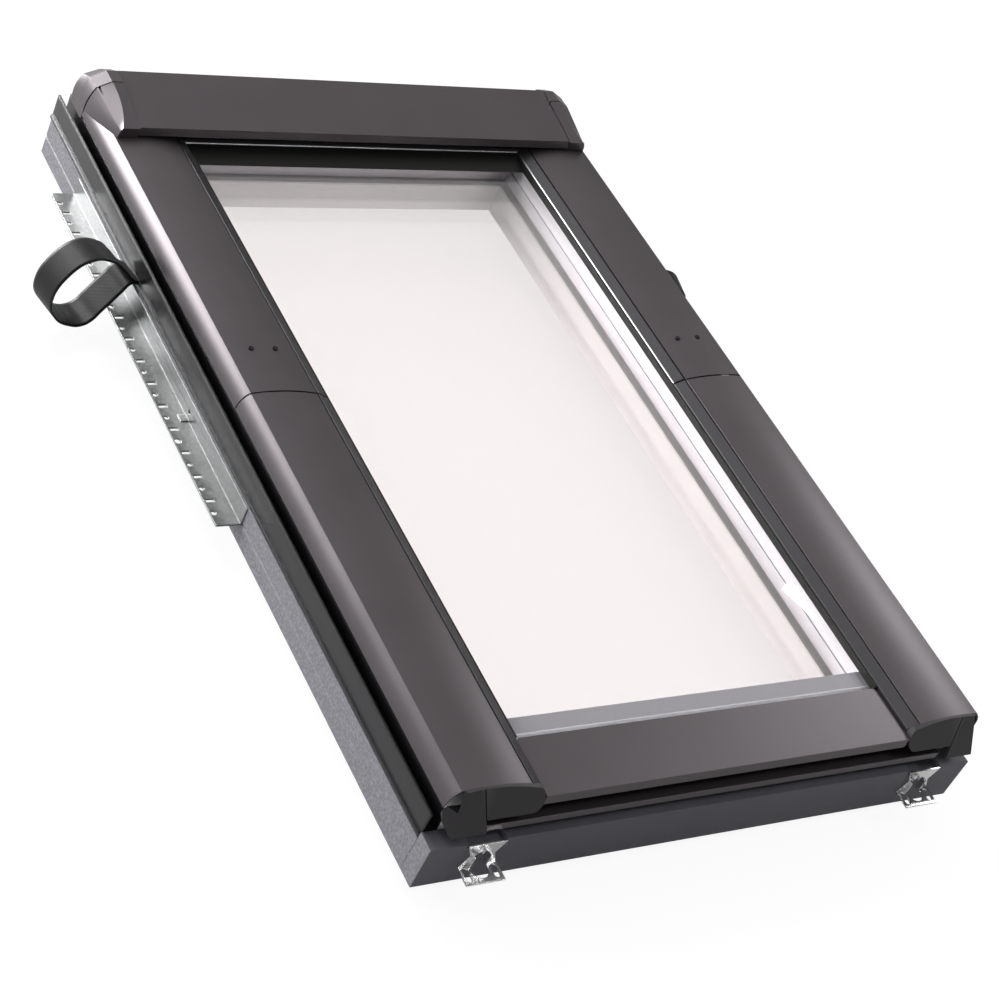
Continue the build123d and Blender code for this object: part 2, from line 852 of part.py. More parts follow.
# Insulation collar: a front piece across the width, two sides and a back piece
def collar_side():
    groove_z = collar_side_high - collar_groove_drop
    section = outline(
        (frame_x, collar_low),
        (collar_x, collar_low),
        (collar_x, groove_z - collar_groove),
        (collar_x - collar_groove, groove_z),
        (collar_x, groove_z + collar_groove),
        (collar_x, collar_side_high),
        (frame_x, collar_side_high),
    )
    return along_y(section, -frame_y, back_y)


def collar_front_piece():
    body = block(-collar_x, collar_x, front_y, -frame_y, collar_low, collar_front_high)
    notch = block(
        bracket_centre - bracket_width / 2, bracket_centre + bracket_width / 2,
        front_y - overrun, -frame_y + overrun,
        collar_front_high - bracket_notch, collar_front_high + overrun,
    )
    return body - notch - left_of(notch)


pieces["collar_front"] = collar_front_piece()
pieces["collar_back"] = block(-frame_x, frame_x, frame_y, back_y, collar_low, collar_side_high)
pair("collar_side", collar_side())

# Side gutters: channels on the collar between frame and covers
gutter_out = frame_x + gutter_width
gutter_outer_high = frame_height - gutter_outer_drop
gutter_inner_high = frame_height - gutter_inner_drop
gutter_path = Line((gutter_out - gutter_lip, gutter_outer_high), (gutter_out, gutter_outer_high))
gutter_path += Line((gutter_out, gutter_outer_high), (gutter_out, collar_side_high))
gutter_path += Line((gutter_out, collar_side_high), (frame_x, collar_side_high))
gutter_path += Line((frame_x, collar_side_high), (frame_x, gutter_inner_high))
gutter = along_y(folded(gutter_path, gutter_sheet), -frame_y, back_y + gutter_overhang)
gutter += block(
    gutter_out, gutter_out + gutter_flange, -frame_y, back_y + gutter_overhang,
    collar_side_high, collar_side_high + gutter_flange_height,
)
pair("gutter", gutter)


# Side fixing angles: folded strips with a row of slots and holes and a pressed pad
def fixing_angle():
    end = angle_start + angle_length
    path = Line((collar_x, angle_low + angle_upstand), (collar_x, angle_low))
    path += Line((collar_x, angle_low), (collar_x + angle_leaf, angle_low))
    body = along_y(folded(path, angle_sheet, Side.LEFT), angle_start, end)
    edge = collar_x + angle_leaf
    slot = Rectangle(angle_slot_length, angle_slot_width)
    small = RegularPolygon(angle_hole_radius, angle_hole_sides)
    count = int((angle_length - 2 * angle_end) / angle_pitch)
    for index in range(count + 1):
        y = angle_start + angle_end + angle_pitch * index
        hole = Circle(angle_hole_radius) if index in (0, count) else small
        if index == angle_large_hole_place:
            hole = Circle(angle_large_hole_radius)
        cuts = Pos(edge - angle_hole_from_edge, y) * hole
        if index < count:
            cuts += Pos(edge - angle_slot_from_edge, y + angle_pitch / 2) * slot
        body -= along_z(cuts, angle_low - overrun, angle_low + overrun)
    floor = angle_low + angle_sheet
    wall = collar_x + angle_sheet
    pad_y = angle_start + angle_pad_along
    half = angle_pad_length / 2
    body += block(
        wall, wall + angle_pad_reach, pad_y - half, pad_y + half, floor, floor + angle_pad_height
    )
    hole = Pos(pad_y, floor + angle_pad_hole_rise) * Circle(angle_pad_hole_radius)
    return body - along_x(hole, collar_x - overrun, wall + overrun)


pair("fixing_angle", fixing_angle())


# Bottom fixing brackets: a waisted plate with ribs, a tongue in its window and a slotted leaf
def bottom_bracket():
    half = bracket_width / 2
    top = collar_front_high - bracket_top_drop
    middle = (top + bracket_low) / 2
    waist = half - bracket_waist
    plate = outline(
        (-half, bracket_low), (half, bracket_low), (waist, middle),
        (half, top), (-half, top), (-waist, middle),
    )
    body = along_y(plate, front_y - bracket_sheet, front_y)
    body += block(-half, half, front_y - bracket_leaf, front_y, bracket_low, bracket_low + bracket_sheet)
    window = bracket_window / 2
    opening = outline(
        (-window, bracket_low), (window, bracket_low), (window, middle),
        (0, middle + bracket_waist), (-window, middle),
    )
    body -= along_y(opening, front_y - bracket_rib, front_y + overrun)
    arch = Pos(0, front_y - window) * Circle(window)
    arch += Pos(0, front_y - window / 2) * Rectangle(bracket_window, window)
    body -= along_z(arch, bracket_low - overrun, bracket_low + overrun)
    for side in (-1, 1):
        rib = block(
            side * window, side * (window + bracket_sheet),
            front_y - bracket_rib, front_y, bracket_low, middle,
        )
        body += rib
    tongue = outline(
        (-bracket_tongue / 2, middle + bracket_waist), (bracket_tongue / 2, middle + bracket_waist),
        (0, middle),
    )
    body += along_y(tongue, front_y - bracket_sheet, front_y)
    slot = Rot(0, 0, 90) * SlotOverall(bracket_slot_length, bracket_slot_width)
    slots = Pos(-bracket_slot_offset, 0) * slot + Pos(bracket_slot_offset, 0) * slot
    slots = Pos(0, front_y - bracket_leaf / 2) * slots
    body -= along_z(slots, bracket_low - overrun, bracket_low + overrun)
    return Pos(bracket_centre, 0, 0) * body


pair("bottom_bracket", bottom_bracket())


# Pivot hinges: a housing with a round groove, and an arm whose round rib runs in it
def pivot_housing():
    body = along_x(
        housing_outline(pivot_z - housing_below, pivot_z - housing_above),
        inside_x, inside_x + housing_thickness,
    )
    band = Pos(0, pivot_z) * (Circle(groove_radius) - Circle(groove_radius - groove_width))
    return body - along_x(band, inside_x - overrun, inside_x + groove_depth)


def pivot_arm():
    body = along_x(
        arm_outline(pivot_z - arm_below, pivot_z - housing_above), sash_x - arm_thickness, sash_x
    )
    outer = groove_radius - rib_clearance
    inner = groove_radius - groove_width + rib_clearance
    start = -90 - rib_half_angle
    end = -90 + rib_half_angle
    path = CenterArc((0, 0), outer, start, 2 * rib_half_angle)
    path += CenterArc((0, 0), inner, start, 2 * rib_half_angle)
    for angle in (start, end):
        direction = (cos(radians(angle)), sin(radians(angle)))
        path += Line(
            (inner * direction[0], inner * direction[1]), (outer * direction[0], outer * direction[1])
        )
    rib = Pos(0, pivot_z) * make_face(path.edges())
    return body + along_x(rib, sash_x, inside_x + groove_depth - rib_clearance)


pair("pivot_housing", pivot_housing())
pair("pivot_arm", pivot_arm())


# Holders under the upper covers, and the screws through the covers
def cover_holder(start):
    web = inside_x + housing_thickness + holder_web
    holder_inner = cover_in_x + holder_inner_inset
    section = outline(
        (web, frame_height),
        (web + holder_foot, frame_height),
        (web + holder_foot, frame_height + holder_flange),
        (web + holder_web, frame_height + holder_flange),
        (web + holder_web, cover_top_z),
        (holder_inner, cover_top_z),
        (holder_inner, sash_high + cover_inner_rise - holder_flange),
        (web, sash_high + cover_inner_rise - holder_flange),
    )
    return along_y(section & under_cover(), start, start + holder_length)


def holder_bores():
    hole = Cylinder(cover_screw_radius + screw_clearance, 4 * overrun)
    return [Pos(*place) * hole for place in cover_screw_axes()]


near_holder = cover_holder(holder_start) - holder_bores()
pair("cover_holders", group([near_holder, cover_holder(holder_far_start)]))


def cover_screw(place):
    head = Cylinder(cover_screw_head, cover_screw_head_height, align=low_end)
    shank = Cylinder(
        cover_screw_radius, cover_screw_length, align=(Align.CENTER, Align.CENTER, Align.MAX)
    )
    return Pos(*place) * (head + shank)


pieces["cover_screws"] = both([cover_screw(place) for place in cover_screw_axes()])


# Seal on top of the rails, open at the pivots
def frame_seal():
    outer = inside_x + seal_inset + seal_width
    inner = inside_x + seal_inset
    end = inside_y + seal_inset + seal_width
    opening = (inner, -end + seal_width, end - seal_width)
    strip = ring((outer, -end, end), opening, frame_height, frame_height + seal_height)
    gap_end = holder_far_start + holder_length + overrun
    gap = block(-frame_x, frame_x, -seal_pivot_gap, gap_end, 0, cover_top_z)
    return strip - gap


pieces["frame_seal"] = frame_seal()


# Handle with its base plate and pinion, lock bar and keepers
def gear():
    outer = pinion_radius + pinion_module * tooth_top_share
    root = pinion_radius - pinion_module
    half_root = (pi * pinion_module / 2 - pinion_backlash) * tooth_root_share
    half_tip = (pi * pinion_module / 2 - pinion_backlash) * tooth_tip_share
    face = Circle(root)
    tooth = outline(
        (-half_root, root - pinion_module), (half_root, root - pinion_module),
        (half_root, root), (half_tip, outer), (-half_tip, outer), (-half_root, root),
    )
    for index in range(pinion_teeth):
        face += Rot(0, 0, 180 + index * 360 / pinion_teeth) * tooth
    return face


def handle():
    turn = Pos(0, pinion_y, 0)
    rose_low = sash_low - rose_height
    stem = Cylinder(neck_radius, pinion_low + bar_height - rose_low + neck_height, align=low_end)
    body = turn * Pos(0, 0, rose_low - neck_height) * stem
    body += along_z(turn * gear(), pinion_low, pinion_low + bar_height)
    grip = SlotCenterToCenter(grip_length - grip_width, grip_width)
    grip = Pos((grip_length - grip_width) / 2, pinion_y) * grip
    low = rose_low - neck_height - grip_height
    lever = along_z(grip, low, low + grip_height)
    return body + lever


def handle_rose():
    plate = SlotOverall(rose_length, rose_width) - Circle(neck_radius + bar_clearance)
    return along_z(Pos(0, pinion_y) * plate, sash_low - rose_height, sash_low)


def lock_bar():
    body = block(
        -bar_half_length, bar_half_length, sash_bottom_y, bar_face_y, bar_low, bar_low + bar_height
    )
    pitch = pi * pinion_module
    half_root = (pitch / 2 - pinion_backlash) * tooth_root_share
    half_tip = (pitch / 2 - pinion_backlash) * tooth_tip_share
    low = bar_face_y
    for index in range(-pinion_teeth // 2, pinion_teeth // 4):
        x = pitch * (index + half_pitch_share)
        tooth = outline(
            (x - half_root, low), (x + half_root, low),
            (x + half_tip, low + rack_height), (x - half_tip, low + rack_height),
        )
        body += along_z(tooth, bar_low, bar_low + bar_height)
    pin = Cylinder(pin_radius, pin_length, align=low_end)
    for x in (-pin_x, pin_x):
        body += Plane(origin=(x, sash_bottom_y, bar_middle), z_dir=(0, -1, 0)) * pin
    return body


half_pitch_share = 0.5


def keeper():
    lip_z = bar_middle + pin_radius + keeper_pin_gap
    plate = block(
        -keeper_half_width, keeper_half_width, -inside_y, -inside_y + keeper_plate,
        bar_middle - keeper_below, lip_z + keeper_above,
    )
    lip = block(
        keeper_lip_offset, keeper_half_width, -inside_y, -inside_y + keeper_reach,
        lip_z, lip_z + keeper_lip,
    )
    return plate + lip


pieces["handle"] = handle()
pieces["handle_rose"] = handle_rose()
pieces["lock_bar"] = lock_bar()
pieces["keepers"] = group([Pos(x, 0, 0) * keeper() for x in (-pin_x, pin_x)])


# Carrying straps: a drop-shaped loop of webbing whose two ends go under the gutter together
def touching(root, centre, half, tilt):
    """The two points where lines from a root touch a tilted ellipse."""
    turn = radians(tilt)
    to_root = (root[0] - centre[0], root[1] - centre[1])
    across = (to_root[0] * cos(turn) - to_root[1] * sin(turn)) / half[0]
    up = (to_root[0] * sin(turn) + to_root[1] * cos(turn)) / half[1]
    spread = acos(1 / hypot(across, up))
    points = []
    for angle in (atan2(up, across) - spread, atan2(up, across) + spread):
        along = (half[0] * cos(angle), half[1] * sin(angle))
        points.append(
            (
                centre[0] + along[0] * cos(turn) + along[1] * sin(turn),
                centre[1] - along[0] * sin(turn) + along[1] * cos(turn),
            )
        )
    return points


def drop(root, centre, half, tilt):
    ellipse = Pos(*centre) * Rot(0, 0, -tilt) * Ellipse(*half)
    return ellipse + outline(root, *touching(root, centre, half, tilt))


def strap(inset, centre, half, tilt):
    """A strap on the right, from its distance below the head and its loop."""
    root = (strap_root_out, strap_root_rise)
    high, low = (atan2(y - root[1], x - root[0]) for x, y in touching(root, centre, half, tilt))
    middle = (high + low) / 2
    step = strap_thickness / sin(abs(high - low) / 2)
    inner_root = (root[0] + step * cos(middle), root[1] + step * sin(middle))
    inner_half = (half[0] - strap_thickness, half[1] - strap_thickness)
    section = drop(root, centre, half, tilt)
    tail = (-strap_thickness, strap_tail_rise)
    section += outline(
        (tail[0], tail[1] - strap_thickness), inner_root, (tail[0], tail[1] + strap_thickness)
    )
    section -= drop(inner_root, centre, inner_half, tilt)
    band = along_y(section, -strap_width / 2, strap_width / 2)
    band = Pos(gutter_out, frame_y - inset, collar_side_high) * Rot(0, 0, -strap_turn) * band
    return band - block(0, gutter_out + gutter_flange, 0, frame_y, 0, hood_back_height)


raised = strap(
    raised_strap_inset,
    (raised_loop_out, raised_loop_rise),
    (raised_loop_half_width, raised_loop_half_height),
    raised_loop_tilt,
)
pieces["carry_strap_left"] = left_of(raised)
pieces["carry_strap_right"] = strap(
    resting_strap_inset,
    (resting_loop_out, -resting_loop_drop),
    (resting_loop_half_width, resting_loop_half_height),
    resting_loop_tilt,
)

os.makedirs("parts", exist_ok=True)
for name, solid in pieces.items():
    export_step(Pos(0, -origin_y, 0) * solid, f"parts/{name}.step")
    print(name)
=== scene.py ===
import json
from math import radians

import bmesh
import bpy
from mathutils import Euler, Matrix, Vector


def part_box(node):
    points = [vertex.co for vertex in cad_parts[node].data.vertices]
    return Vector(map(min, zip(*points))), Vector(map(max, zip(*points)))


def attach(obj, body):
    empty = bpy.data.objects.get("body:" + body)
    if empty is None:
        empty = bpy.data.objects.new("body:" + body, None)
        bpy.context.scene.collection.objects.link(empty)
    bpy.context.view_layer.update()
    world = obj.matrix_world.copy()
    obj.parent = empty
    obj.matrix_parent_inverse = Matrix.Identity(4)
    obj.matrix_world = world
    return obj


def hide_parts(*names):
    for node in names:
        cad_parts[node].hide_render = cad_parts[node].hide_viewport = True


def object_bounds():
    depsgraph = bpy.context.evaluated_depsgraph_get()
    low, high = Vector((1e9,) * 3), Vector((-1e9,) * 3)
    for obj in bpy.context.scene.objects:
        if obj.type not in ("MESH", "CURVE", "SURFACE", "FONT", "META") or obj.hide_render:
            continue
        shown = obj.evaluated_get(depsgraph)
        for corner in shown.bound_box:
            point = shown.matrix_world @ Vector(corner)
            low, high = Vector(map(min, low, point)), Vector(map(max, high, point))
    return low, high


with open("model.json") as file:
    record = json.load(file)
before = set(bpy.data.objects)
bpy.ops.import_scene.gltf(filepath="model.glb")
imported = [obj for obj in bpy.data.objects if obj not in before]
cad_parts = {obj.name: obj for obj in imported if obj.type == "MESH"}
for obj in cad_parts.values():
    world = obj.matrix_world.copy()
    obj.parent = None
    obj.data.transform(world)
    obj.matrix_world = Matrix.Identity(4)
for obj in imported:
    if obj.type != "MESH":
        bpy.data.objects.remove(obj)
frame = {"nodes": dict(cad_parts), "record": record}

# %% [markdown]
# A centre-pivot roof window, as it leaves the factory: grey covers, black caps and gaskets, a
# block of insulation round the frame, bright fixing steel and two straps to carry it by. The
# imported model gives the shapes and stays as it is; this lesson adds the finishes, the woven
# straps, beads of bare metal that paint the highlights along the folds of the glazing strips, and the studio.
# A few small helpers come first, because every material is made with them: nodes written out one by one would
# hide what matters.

cad_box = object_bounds()
nodes = frame["nodes"]
mm = 0.001
print("frame:", len(nodes), "nodes, box", [tuple(round(v, 3) for v in corner) for corner in cad_box])


def linear(code):
    """An sRGB hex colour as a linear colour with alpha."""
    channels = [int(code[i:i + 2], 16) / 255 for i in (1, 3, 5)]
    return [c / 12.92 if c <= 0.04045 else ((c + 0.055) / 1.055) ** 2.4 for c in channels] + [1.0]


def add(tree, kind, inputs=None, **settings):
    """Adds a node; an input that is a socket is linked, and any other is set."""
    node = tree.nodes.new(kind)
    for name, value in settings.items():
        setattr(node, name, value)
    for name, value in (inputs or {}).items():
        if isinstance(value, bpy.types.NodeSocket):
            tree.links.new(value, node.inputs[name])
        else:
            node.inputs[name].default_value = value
    return node


def link(tree, socket, shader, name):
    """Links a socket to one of the shader's inputs."""
    tree.links.new(socket, shader.inputs[name])


def finish_of(name, **sockets):
    """A new material with its Principled shader's plain values set."""
    material = bpy.data.materials.new(name)
    material.use_nodes = True
    shader = material.node_tree.nodes["Principled BSDF"]
    for socket, value in sockets.items():
        shader.inputs[socket.replace("_", " ")].default_value = value
    return material, material.node_tree, shader


def recoloured(material, name, dark, light):
    """A copy of a finish under its own name, with another dark and light tone."""
    copy = material.copy()
    copy.name = name
    ramp = copy.node_tree.nodes["Color Ramp"].color_ramp
    ramp.elements[0].color = linear(dark)
    ramp.elements[1].color = linear(light)
    return copy


def per_mm(size):
    """A texture scale whose pattern repeats once in a size given in millimetres."""
    return 1 / (size * mm)


# %% [markdown]
# The camera comes first, because every comparison hangs on it. It looks down on the window from
# its lower left corner with a long lens, and it is rolled, so that the window seems to lean back.
# It could be aimed by a constraint, but three plain angles keep the roll in sight.

# %% Camera
camera_place = (-1.6790, -1.1767, 1.8810)
camera_azimuth = -45.09
camera_elevation = 38.09
camera_roll = 27.73
camera_lens = 85.07
camera_sensor = 36
camera_reach = 60

camera = bpy.data.objects.new("camera", bpy.data.cameras.new("camera"))
bpy.context.scene.collection.objects.link(camera)
camera.data.lens = camera_lens
camera.data.sensor_width = camera_sensor
camera.data.clip_end = camera_reach
level = Euler((radians(90 - camera_elevation), 0, radians(camera_azimuth))).to_matrix()
rolled = level @ Matrix.Rotation(radians(camera_roll), 3, "Z")
camera.matrix_world = Matrix.Translation(camera_place) @ rolled.to_4x4()
bpy.context.scene.camera = camera
bpy.context.scene.view_settings.view_transform = "Standard"
print("camera at", camera_place)

# %% [markdown]
# The covers, the hood and the ledge are aluminium sheet, roll-formed and then stove-coated in
# grey. Metal flakes in the coat mirror a bright wall softly, while a face that looks at the dark
# side of the room stays dark. A plain grey paint would lose that, so the coat is partly metallic.
# The orange peel of the coat is about as fine as a pixel here, so it only softens the shine.

# %% Coated aluminium
coat_peel = 1.6
coat_cloud = 90.0
peel_height = 0.01 * mm

coated_aluminium, tree, shader = finish_of("stove_coated_aluminium", Metallic=0.65)
place = add(tree, "ShaderNodeTexCoord").outputs["Object"]
cloud = add(tree, "ShaderNodeTexNoise", {"Vector": place, "Scale": per_mm(coat_cloud), "Detail": 3.0})
tone = add(tree, "ShaderNodeValToRGB", {"Fac": cloud.outputs["Fac"]})
tone.color_ramp.elements[0].color = linear("#565154")
tone.color_ramp.elements[1].color = linear("#5F5A5D")
link(tree, tone.outputs["Color"], shader, "Base Color")
shine = add(tree, "ShaderNodeMapRange", {"Value": cloud.outputs["Fac"], "To Min": 0.33, "To Max": 0.40})
link(tree, shine.outputs["Result"], shader, "Roughness")
peel = add(tree, "ShaderNodeTexNoise", {"Vector": place, "Scale": per_mm(coat_peel), "Detail": 1.0})
bump = add(tree, "ShaderNodeBump", {"Height": peel.outputs["Fac"], "Distance": peel_height, "Strength": 0.5})
link(tree, bump.outputs["Normal"], shader, "Normal")
print("made", coated_aluminium.name)

# %% [markdown]
# The glazing strips between the covers and the glass have a darker coat with fewer flakes. It
# could be a material of its own, but a copy keeps the same cloud and the same orange peel.

# %% Coat of the glazing strips
strip_coat = recoloured(coated_aluminium, "stove_coated_strip", "#3B393C", "#434144")
strip_coat.node_tree.nodes["Principled BSDF"].inputs["Metallic"].default_value = 0.3
print("made", strip_coat.name)

# %% [markdown]
# The caps on the lower ends of the covers are moulded in black weatherproof plastic. The mould's
# fine spark texture makes it matt; only its facets tell the light from the dark side. One noise
# drives colour, shine and relief together, because on the real cap all three come from one mould.

# %% Moulded cap plastic
cap_grain = 1.2
cap_dent = 0.02 * mm

cap_plastic, tree, shader = finish_of("moulded_cap_plastic", Specular_IOR_Level=0.4)
place = add(tree, "ShaderNodeTexCoord").outputs["Object"]
grain = add(tree, "ShaderNodeTexNoise", {"Vector": place, "Scale": per_mm(cap_grain), "Detail": 2.0})
tone = add(tree, "ShaderNodeValToRGB", {"Fac": grain.outputs["Fac"]})
tone.color_ramp.elements[0].color = linear("#302E30")
tone.color_ramp.elements[1].color = linear("#3C393C")
link(tree, tone.outputs["Color"], shader, "Base Color")
shine = add(tree, "ShaderNodeMapRange", {"Value": grain.outputs["Fac"], "To Min": 0.42, "To Max": 0.52})
link(tree, shine.outputs["Result"], shader, "Roughness")
bump = add(tree, "ShaderNodeBump", {"Height": grain.outputs["Fac"], "Distance": cap_dent, "Strength": 0.5})
link(tree, bump.outputs["Normal"], shader, "Normal")
print("made", cap_plastic.name)

# %% [markdown]
# The collar is built up from bars of closed-cell polyethylene foam. A bar has a smooth dark skin
# where it touched the mould, but the long sides and the ends that face left and right are cut:
# there the open cells are rough. Those faces are also painted paler, as painted light from the lamps
# on the left. Two materials would need the faces picked by hand; a
# mix by the face's direction finds them by itself. The cells are too fine to show one by one, so
# they are drawn about three times as coarse.

# %% Insulation foam
foam_cell = 4.0
foam_cloud = 60.0
skin_dent = 0.12 * mm
cut_dent = 0.8 * mm

foam, tree, shader = finish_of("polyethylene_foam", Specular_IOR_Level=0.35)
place = add(tree, "ShaderNodeTexCoord").outputs["Object"]
cells = add(tree, "ShaderNodeTexVoronoi", {"Vector": place, "Scale": per_mm(foam_cell)}).outputs["Distance"]
cloud = add(tree, "ShaderNodeTexNoise", {"Vector": place, "Scale": per_mm(foam_cloud), "Detail": 4.0})
facing = add(tree, "ShaderNodeNewGeometry").outputs["True Normal"]
sideways = add(tree, "ShaderNodeSeparateXYZ", {"Vector": facing}).outputs["X"]
# Faces that point left and right: painted light in their tone, and the rough cut cells in their bump.
lit_and_cut_side = add(tree, "ShaderNodeMath", {0: sideways}, operation="ABSOLUTE").outputs["Value"]
skin = add(tree, "ShaderNodeValToRGB", {"Fac": cloud.outputs["Fac"]})
skin.color_ramp.elements[0].color = linear("#55555B")
skin.color_ramp.elements[1].color = linear("#6C6C73")
# Painted light: the paler tone of the faces that point left and right.
painted_lit_cells = add(tree, "ShaderNodeValToRGB", {"Fac": cells})
painted_lit_cells.color_ramp.elements[0].color = linear("#75747A")
painted_lit_cells.color_ramp.elements[1].color = linear("#9B99A1")
tone = add(
    tree, "ShaderNodeMixRGB",
    {"Fac": lit_and_cut_side, "Color1": skin.outputs["Color"], "Color2": painted_lit_cells.outputs["Color"]},
)
link(tree, tone.outputs["Color"], shader, "Base Color")
shine = add(tree, "ShaderNodeMapRange", {"Value": cloud.outputs["Fac"], "To Min": 0.45, "To Max": 0.62})
link(tree, shine.outputs["Result"], shader, "Roughness")
depth = add(tree, "ShaderNodeMapRange", {"Value": lit_and_cut_side, "To Min": skin_dent, "To Max": cut_dent})
bump = add(
    tree, "ShaderNodeBump", {"Height": cells, "Distance": depth.outputs["Result"], "Strength": 0.6}
)
link(tree, bump.outputs["Normal"], shader, "Normal")
print("made", foam.name)

# %% [markdown]
# Gaskets and seals are extruded EPDM rubber: nearly black and dull, with a faint grain from the
# die. The glass lies on a tape of the same make but white, so it is a copy with pale tones.

# %% Rubber and glazing tape
die_line = 1.0

rubber, tree, shader = finish_of("extruded_rubber", Specular_IOR_Level=0.3)
place = add(tree, "ShaderNodeTexCoord").outputs["Object"]
lines = add(tree, "ShaderNodeTexNoise", {"Vector": place, "Scale": per_mm(die_line), "Detail": 2.0})
tone = add(tree, "ShaderNodeValToRGB", {"Fac": lines.outputs["Fac"]})
tone.color_ramp.elements[0].color = linear("#121311")
tone.color_ramp.elements[1].color = linear("#1C1D1A")
link(tree, tone.outputs["Color"], shader, "Base Color")
shine = add(tree, "ShaderNodeMapRange", {"Value": lines.outputs["Fac"], "To Min": 0.55, "To Max": 0.70})
link(tree, shine.outputs["Result"], shader, "Roughness")
bed_tape = recoloured(rubber, "white_glazing_tape", "#BFC4C3", "#CDD1D0")
print("made", rubber.name, "and", bed_tape.name)

# %% [markdown]
# The gutters beside the frame are extruded PVC, black and smooth, with lines along the run. The
# noise is stretched along Y to draw them. The lips of the profile are rounded in the die; more
# faces could do that, but a Bevel node only bends the shading, which is all that shows here.

# %% Gutter plastic
gutter_line = 2.0
gutter_stretch = 0.02
lip_radius = 6.0 * mm

gutter_plastic, tree, shader = finish_of("extruded_pvc", Specular_IOR_Level=0.5)
place = add(tree, "ShaderNodeTexCoord").outputs["Object"]
run = add(tree, "ShaderNodeMapping", {"Vector": place, "Scale": (1.0, gutter_stretch, 1.0)}).outputs["Vector"]
lines = add(tree, "ShaderNodeTexNoise", {"Vector": run, "Scale": per_mm(gutter_line), "Detail": 2.0})
tone = add(tree, "ShaderNodeValToRGB", {"Fac": lines.outputs["Fac"]})
tone.color_ramp.elements[0].color = linear("#161618")
tone.color_ramp.elements[1].color = linear("#242327")
link(tree, tone.outputs["Color"], shader, "Base Color")
shine = add(tree, "ShaderNodeMapRange", {"Value": lines.outputs["Fac"], "To Min": 0.20, "To Max": 0.30})
link(tree, shine.outputs["Result"], shader, "Roughness")
lip = add(tree, "ShaderNodeBevel", {"Radius": lip_radius}, samples=4)
link(tree, lip.outputs["Normal"], shader, "Normal")
print("made", gutter_plastic.name)

# %% [markdown]
# The fixing angles, and the hinges and the lock inside, are punched from hot-dip galvanised
# sheet. Zinc freezes in crystals a few millimetres wide, and each of them shines a little
# differently, which Voronoi cells give at once. The angle is folded, not welded, at its corner:
# a Bevel node draws the soft line of the fold.

# %% Galvanised steel
spangle = 4.0
bend_radius = 2.0 * mm

galvanised_steel, tree, shader = finish_of("galvanised_steel", Metallic=1.0)
place = add(tree, "ShaderNodeTexCoord").outputs["Object"]
crystals = add(tree, "ShaderNodeTexVoronoi", {"Vector": place, "Scale": per_mm(spangle)}).outputs["Color"]
tone = add(tree, "ShaderNodeValToRGB", {"Fac": crystals})
tone.color_ramp.elements[0].color = linear("#868787")
tone.color_ramp.elements[1].color = linear("#989999")
link(tree, tone.outputs["Color"], shader, "Base Color")
shine = add(tree, "ShaderNodeMapRange", {"Value": crystals, "To Min": 0.27, "To Max": 0.36})
link(tree, shine.outputs["Result"], shader, "Roughness")
bend = add(tree, "ShaderNodeBevel", {"Radius": bend_radius}, samples=4)
link(tree, bend.outputs["Normal"], shader, "Normal")
print("made", galvanised_steel.name)

# %% [markdown]
# The two brackets at the bottom are small pressings, zinc-plated in a bath: smoother and bent
# tighter than the angles, and a little brighter; their tone is raised much further as painted light,
# because they face the dark front of the room. A copy of the galvanised steel with those three changes does.

# %% Zinc plating and painted light
# Painted light: the brackets' tone is raised well above the angles', as they face the dark front.
plated_steel_painted_light = recoloured(galvanised_steel, "plated_steel_painted_light", "#E0E1E1", "#F0F0F0")
shine = plated_steel_painted_light.node_tree.nodes["Map Range"]
shine.inputs["To Min"].default_value = 0.12
shine.inputs["To Max"].default_value = 0.22
bend = plated_steel_painted_light.node_tree.nodes["Bevel"]
bend.inputs["Radius"].default_value = bend_radius / 2
print("made", plated_steel_painted_light.name)

# %% [markdown]
# The rails of frame and sash are pine, primed and lacquered white, so the grain only shows as a
# slight relief. A wood pattern with rings would be too strong under the lacquer; a noise that is
# stretched along the rail is enough.

# %% White lacquer
grain_width = 7.0
grain_stretch = 0.08
grain_relief = 0.05 * mm

white_timber, tree, shader = finish_of("white_lacquered_pine", Specular_IOR_Level=0.45)
place = add(tree, "ShaderNodeTexCoord").outputs["Object"]
run = add(tree, "ShaderNodeMapping", {"Vector": place, "Scale": (1.0, grain_stretch, 1.0)}).outputs["Vector"]
grain = add(tree, "ShaderNodeTexNoise", {"Vector": run, "Scale": per_mm(grain_width), "Detail": 4.0})
tone = add(tree, "ShaderNodeValToRGB", {"Fac": grain.outputs["Fac"]})
tone.color_ramp.elements[0].color = linear("#E2E6E6")
tone.color_ramp.elements[1].color = linear("#EDF1F1")
link(tree, tone.outputs["Color"], shader, "Base Color")
shine = add(tree, "ShaderNodeMapRange", {"Value": grain.outputs["Fac"], "To Min": 0.30, "To Max": 0.42})
link(tree, shine.outputs["Result"], shader, "Roughness")
bump = add(
    tree, "ShaderNodeBump", {"Height": grain.outputs["Fac"], "Distance": grain_relief, "Strength": 0.4}
)
link(tree, bump.outputs["Normal"], shader, "Normal")
print("made", white_timber.name)

# %% [markdown]
# The spacer bars between the panes are thin anodised aluminium, drawn through a die and matt. They
# lie in the shade of the glass edge, so they are only a little metallic: a full metal would
# mirror the dark room and turn black.

# %% Spacer bar
drawn_line = 1.5

